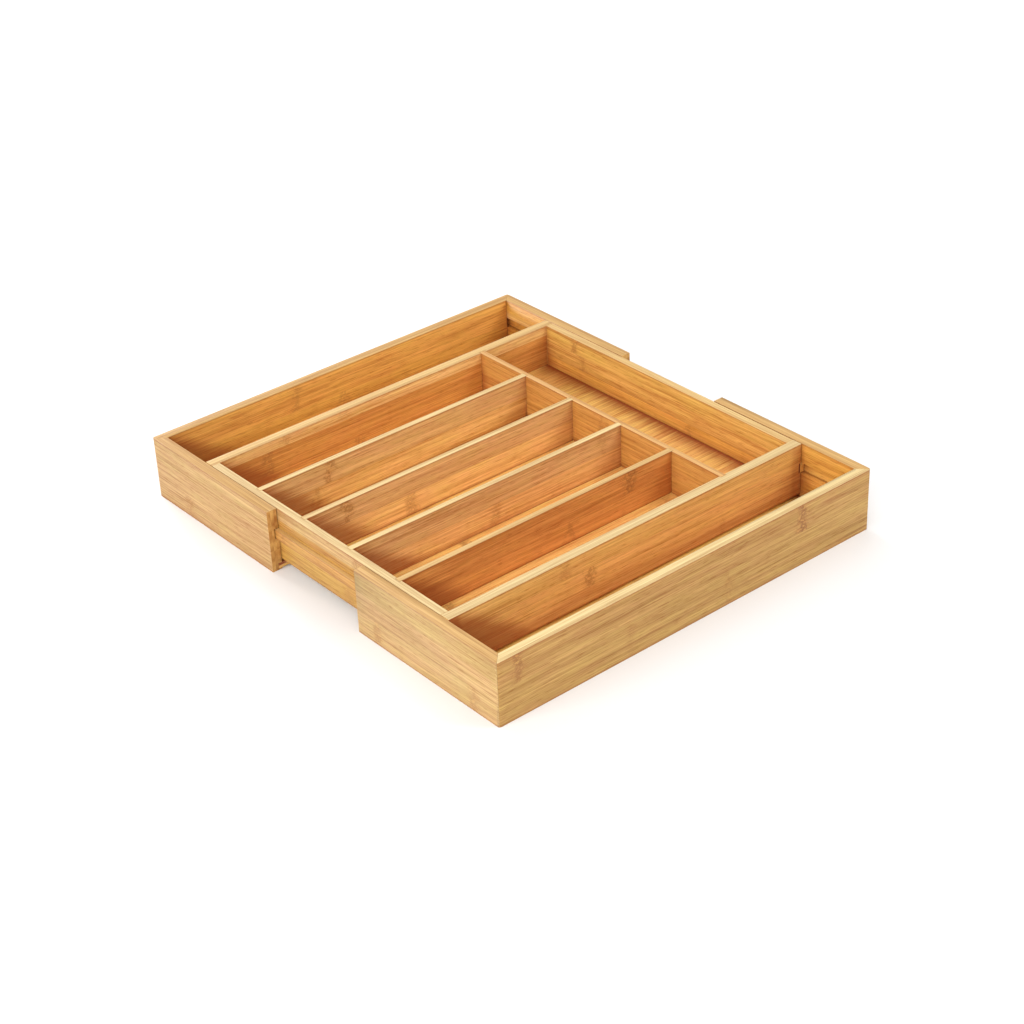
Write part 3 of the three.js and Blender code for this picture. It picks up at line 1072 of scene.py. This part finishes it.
def long_dividers():
    dividers = sorted(node for node in BODY_OF if node.startswith("long_divider_"))
    low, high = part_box(dividers[0])
    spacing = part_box(dividers[1])[0].x - low.x
    middle = (low + high) / 2
    size = high - low
    beyond = margins(dividers[0], Y, ("tray_front_board", "cross_divider"), "tray_floor")
    lamination = Bamboo(
        Y, Z, X, THIN_LAYERS, LONG_DIVIDERS_SEED,
        faces=((CINNAMON, NOUGAT), RUSSET), edges=(VANILLA, APRICOT),
        border_shares=(0.5,), knuckle_shares=DIVIDER_KNUCKLE_SHARES,
        row_step=spacing, row_count=len(dividers), inside=BOTH_FACES, margins=beyond,
    )
    material = bamboo("long_dividers_bamboo", (low, high), lamination)
    values = {
        "Count": len(dividers),
        "First Foot": Vector((middle.x, low.y, middle.z)),
        "Spacing": spacing,
        "Length": size.y,
        "Height": size.z,
        "Thickness": size.x,
        "Easing": DIVIDER_EASING,
        "Material": material,
    }
    mesh = made_by(divider_row_tree(), values)
    mesh.name = "long_dividers_wood"
    row = shown("long_dividers_wood", mesh)
    mesh.set_sharp_from_angle(angle=EDGE_ANGLE)
    put_in_place(row, dividers, material)


# The room

STUDIO_FLOOR_HALF = 4.0
STUDIO_FLOOR_WHITE = (0.88, 0.88, 0.88)
STUDIO_FLOOR_ROUGHNESS = 0.8
LIGHT_SIZE = 1.4
LIGHT_DISTANCE = 3.0
SURROUNDING_LIGHT = 0.45

# Each softbox's azimuth and elevation in degrees, and its power in watts
SOFTBOXES = {
    "left_softbox": (-90, 24, 65),
    "front_softbox": (0, 31, 42),
    "right_front_softbox": (45, 34, 34),
    "right_back_softbox": (135, 44, 33),
    "left_back_softbox": (-135, 48, 7),
}


def towards(azimuth, elevation):
    """The direction to a light or the camera. The azimuth is counted from the front to the right."""
    level = math.cos(elevation)
    return Vector((math.sin(azimuth) * level, -math.cos(azimuth) * level, math.sin(elevation)))


def plain_floor():
    mesh = bpy.data.meshes.new("studio_floor")
    corners = [Vector((x, y, 0)) for x, y in ((-1, -1), (1, -1), (1, 1), (-1, 1))]
    mesh.from_pydata([corner * STUDIO_FLOOR_HALF for corner in corners], [], [(0, 1, 2, 3)])
    mesh.materials.append(Finish("pale_floor").surface(STUDIO_FLOOR_WHITE, STUDIO_FLOOR_ROUGHNESS))
    floor = bpy.data.objects.new("studio_floor", mesh)
    bpy.context.scene.collection.objects.link(floor)


def soft_light(name, azimuth, elevation, power):
    """A square softbox that faces the tray."""
    direction = towards(math.radians(azimuth), math.radians(elevation))
    light = bpy.data.lights.new(name, "AREA")
    light.shape = "SQUARE"
    light.size = LIGHT_SIZE
    light.energy = power
    lamp = bpy.data.objects.new(name, light)
    lamp.location = direction * LIGHT_DISTANCE
    lamp.rotation_euler = direction.to_track_quat("Z", "Y").to_euler()
    bpy.context.scene.collection.objects.link(lamp)


def pale_surroundings():
    world = bpy.data.worlds.new("pale_room")
    world.use_nodes = True
    background = world.node_tree.nodes["Background"]
    background.inputs["Color"].default_value = (1.0, 1.0, 1.0, 1.0)
    background.inputs["Strength"].default_value = SURROUNDING_LIGHT
    bpy.context.scene.world = world


# The camera that saw the photograph, found from the object's corners. Its axis passes a little to the
# right of the origin and below it.
AZIMUTH = math.radians(51.034)
ELEVATION = math.radians(31.372)
ROLL = math.radians(-2.563)
DISTANCE = 2.00357
AXIS_RIGHT = 0.00606
AXIS_UP = -0.0005
FOCAL_LENGTH_PIXELS, PHOTO_WIDTH_PIXELS = 2187.014, 1024
SENSOR = 36.0


def photograph_camera():
    camera = bpy.data.cameras.new("camera")
    camera.sensor_width = SENSOR
    camera.lens = SENSOR * (FOCAL_LENGTH_PIXELS / PHOTO_WIDTH_PIXELS)
    back = towards(AZIMUTH, ELEVATION)
    flat_right = Vector((0, 0, 1)).cross(back).normalized()
    flat_up = back.cross(flat_right)
    right = flat_right * math.cos(ROLL) + flat_up * math.sin(ROLL)
    up = flat_up * math.cos(ROLL) - flat_right * math.sin(ROLL)
    place = back * DISTANCE + right * AXIS_RIGHT + up * AXIS_UP
    viewer = bpy.data.objects.new("camera", camera)
    viewer.matrix_world = Matrix.Translation(place) @ Matrix((right, up, back)).transposed().to_4x4()
    bpy.context.scene.collection.objects.link(viewer)
    bpy.context.scene.camera = viewer


photograph_camera()
tray_front_board()
tray_back_board()
tray_left_side_board()
tray_right_side_board()
left_wing_boards()
right_wing_boards()
cross_divider()
long_dividers()
rails()
stop_battens()
floors()
plain_floor()
pale_surroundings()
for softbox, (softbox_azimuth, softbox_elevation, watts) in SOFTBOXES.items():
    soft_light(softbox, softbox_azimuth, softbox_elevation, watts)
bpy.context.scene.view_settings.view_transform = "Standard"
